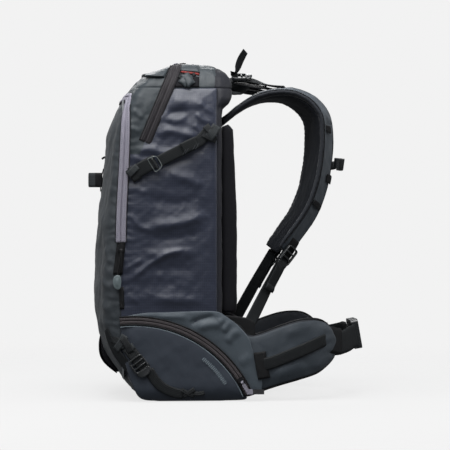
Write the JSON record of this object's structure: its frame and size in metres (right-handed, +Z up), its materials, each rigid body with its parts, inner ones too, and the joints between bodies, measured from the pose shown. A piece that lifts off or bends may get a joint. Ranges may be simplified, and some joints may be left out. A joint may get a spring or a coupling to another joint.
{
  "type": "ski backpack",
  "caption": "Ski touring backpack with a zipped top, a front tool pocket, side stash pockets, padded harness, buckled hip belt and sternum strap.",
  "frame": {"origin": "centre of the flat base on the floor", "axes": "+Z up the back, -Y to the outer front of the pack, +Y to the wearer, +X to the wearer's right"},
  "size_m": [0.3082, 0.4623, 0.5757],
  "materials": {
    "main_fabric": "dark ripstop nylon, soft sheen",
    "pocket_fabric": "slate plain woven nylon",
    "lid_fabric": "grey-green plain woven nylon",
    "back_fabric": "black plain woven nylon",
    "wing_fabric": "slate woven nylon over foam",
    "strap_fabric": "dark woven nylon over foam",
    "pad_mesh": "black spacer mesh over foam",
    "lining": "light grey coated lining",
    "frame_plastic": "black polyethylene sheet",
    "stay_metal": "satin",
    "webbing": "black woven polyester webbing",
    "tab_fabric": "grey coated fabric",
    "buckle_plastic": "black acetal, fine grain",
    "zip_light": "lavender-grey zip tape",
    "zip_dark": "brown-black zip tape",
    "slider_metal": "black enamel",
    "puller_tag": "teal-grey moulded tag",
    "puller_lavender": "lavender woven puller"
  },
  "bodies": {
    "pack": {"front_pocket_shell": "pocket_fabric", "top_lid_panel": "lid_fabric", "base_panel": "main_fabric", "back_wall_and_yoke": "back_fabric", "side_panel_right": "main_fabric", "side_panel_left": "main_fabric", "tool_pocket_divider": "lining", "frame_sheet": "frame_plastic", "frame_stays": "stay_metal", "hydration_sleeve": "lining", "side_stash_right": "pocket_fabric", "side_stash_left": "pocket_fabric", "hip_gusset_right": "pocket_fabric", "hip_gusset_left": "pocket_fabric", "side_zip_right": "zip_dark", "side_zip_left": "zip_dark", "top_zip": "zip_dark", "front_zip": "zip_light", "back_foam_pad": "pad_mesh", "lumbar_pad": "pad_mesh", "shoulder_strap_right": "strap_fabric", "shoulder_strap_left": "strap_fabric", "lower_webbing_right": "webbing", "lower_webbing_left": "webbing", "load_lifter_webbing_right": "webbing", "load_lifter_webbing_left": "webbing", "hip_wing_right": "wing_fabric", "hip_wing_left": "wing_fabric", "hip_webbing_right": "webbing", "hip_webbing_left": "webbing", "compression_webbing_right": "webbing", "compression_webbing_left": "webbing", "hip_buckle_socket": "buckle_plastic", "front_gear_loop": "tab_fabric", "ski_loop": "webbing", "haul_loop": "webbing"},
    "top_zip_slider": {"top_zip_slider": "slider_metal"},
    "top_zip_puller": {"top_zip_puller": "puller_lavender"},
    "front_zip_slider": {"front_zip_slider": "slider_metal"},
    "front_zip_puller": {"front_zip_puller": "puller_tag"},
    "side_zip_slider_right": {"side_zip_slider_right": "slider_metal"},
    "side_zip_puller_right": {"side_zip_puller_right": "puller_lavender"},
    "strap_adjuster_right": {"strap_adjuster_right": "buckle_plastic"},
    "load_lifter_buckle_right": {"load_lifter_buckle_right": "buckle_plastic", "load_lifter_tail_right": "webbing"},
    "upper_compression_buckle_right": {"upper_compression_buckle_right": "buckle_plastic"},
    "lower_compression_buckle_right": {"lower_compression_buckle_right": "buckle_plastic"},
    "side_zip_slider_left": {"side_zip_slider_left": "slider_metal"},
    "side_zip_puller_left": {"side_zip_puller_left": "puller_lavender"},
    "strap_adjuster_left": {"strap_adjuster_left": "buckle_plastic"},
    "load_lifter_buckle_left": {"load_lifter_buckle_left": "buckle_plastic", "load_lifter_tail_left": "webbing"},
    "upper_compression_buckle_left": {"upper_compression_buckle_left": "buckle_plastic"},
    "lower_compression_buckle_left": {"lower_compression_buckle_left": "buckle_plastic"},
    "hip_buckle_plug": {"hip_buckle_plug": "buckle_plastic"},
    "sternum_strap": {"sternum_webbing": "webbing", "sternum_clip_right": "buckle_plastic", "sternum_clip_left": "buckle_plastic", "sternum_socket": "buckle_plastic"},
    "sternum_plug": {"sternum_plug": "buckle_plastic"}
  },
  "joints": [
    {"name": "top_zip_slide", "type": "slide", "parent": "pack", "child": "top_zip_slider", "axis": [1, 0, 0], "range_m": [-0.055, 0.012]},
    {"name": "top_zip_puller_swing", "type": "hinge", "parent": "top_zip_slider", "child": "top_zip_puller", "pos_m": [0.0125, -0.01443, 0.55936], "axis": [0, -0.9755, -0.2201], "range_deg": [0, 150]},
    {"name": "front_zip_slide", "type": "slide", "parent": "pack", "child": "front_zip_slider", "axis": [0, 0.0428, 0.9991], "range_m": [0, 0.125]},
    {"name": "front_zip_puller_swing", "type": "hinge", "parent": "front_zip_slider", "child": "front_zip_puller", "pos_m": [0.14924, -0.10681, 0.2466], "axis": [-0.0008, -0.9991, 0.0429], "range_deg": [0, 150]},
    {"name": "side_zip_slide_right", "type": "hinge", "parent": "pack", "child": "side_zip_slider_right", "pos_m": [0.147, -0.087, -0.074], "axis": [1, 0, 0], "range_deg": [0, 58]},
    {"name": "side_zip_slide_left", "type": "hinge", "parent": "pack", "child": "side_zip_slider_left", "pos_m": [-0.147, -0.087, -0.074], "axis": [1, 0, 0], "range_deg": [0, 58]},
    {"name": "side_zip_puller_swing_right", "type": "hinge", "parent": "side_zip_slider_right", "child": "side_zip_puller_right", "pos_m": [0.1518, 0.08952, 0.03124], "axis": [0, -0.8526, -0.5225], "range_deg": [0, 150]},
    {"name": "side_zip_puller_swing_left", "type": "hinge", "parent": "side_zip_slider_left", "child": "side_zip_puller_left", "pos_m": [-0.1518, 0.08952, 0.03124], "axis": [0, 0.8526, 0.5225], "range_deg": [0, 150]},
    {"name": "hip_buckle_release", "type": "slide", "parent": "pack", "child": "hip_buckle_plug", "axis": [-1, 0, 0], "range_m": [0, 0.03]},
    {"name": "sternum_height", "type": "slide", "parent": "pack", "child": "sternum_strap", "axis": [0, 0.14, 0.9901], "range_m": [-0.025, 0.03]},
    {"name": "sternum_release", "type": "slide", "parent": "sternum_strap", "child": "sternum_plug", "axis": [-1, 0, 0], "range_m": [0, 0.02]},
    {"name": "strap_adjuster_tilt_right", "type": "hinge", "parent": "pack", "child": "strap_adjuster_right", "pos_m": [0.10776, 0.17685, 0.24987], "axis": [0.6934, -0.5444, 0.4721], "range_deg": [0, 35]},
    {"name": "strap_adjuster_tilt_left", "type": "hinge", "parent": "pack", "child": "strap_adjuster_left", "pos_m": [-0.10776, 0.17685, 0.24987], "axis": [0.6934, 0.5444, -0.4721], "range_deg": [0, 35]},
    {"name": "load_lifter_tilt_right", "type": "hinge", "parent": "pack", "child": "load_lifter_buckle_right", "pos_m": [0.06, 0.0785, 0.5298], "axis": [0.9243, 0, -0.3818], "range_deg": [0, 35]},
    {"name": "load_lifter_tilt_left", "type": "hinge", "parent": "pack", "child": "load_lifter_buckle_left", "pos_m": [-0.06, 0.0785, 0.5298], "axis": [0.9243, 0, 0.3818], "range_deg": [0, 35]},
    {"name": "upper_compression_tilt_right", "type": "hinge", "parent": "pack", "child": "upper_compression_buckle_right", "pos_m": [0.1443, -0.06, 0.38], "axis": [0, 0.5101, -0.8601], "range_deg": [0, 35]},
    {"name": "upper_compression_tilt_left", "type": "hinge", "parent": "pack", "child": "upper_compression_buckle_left", "pos_m": [-0.1443, -0.06, 0.38], "axis": [0, -0.5101, 0.8601], "range_deg": [0, 35]},
    {"name": "lower_compression_tilt_right", "type": "hinge", "parent": "pack", "child": "lower_compression_buckle_right", "pos_m": [0.1468, -0.086, 0.072], "axis": [0, -0.8, -0.6], "range_deg": [0, 35]},
    {"name": "lower_compression_tilt_left", "type": "hinge", "parent": "pack", "child": "lower_compression_buckle_left", "pos_m": [-0.1468, -0.086, 0.072], "axis": [0, 0.8, 0.6], "range_deg": [0, 35]}
  ]
}
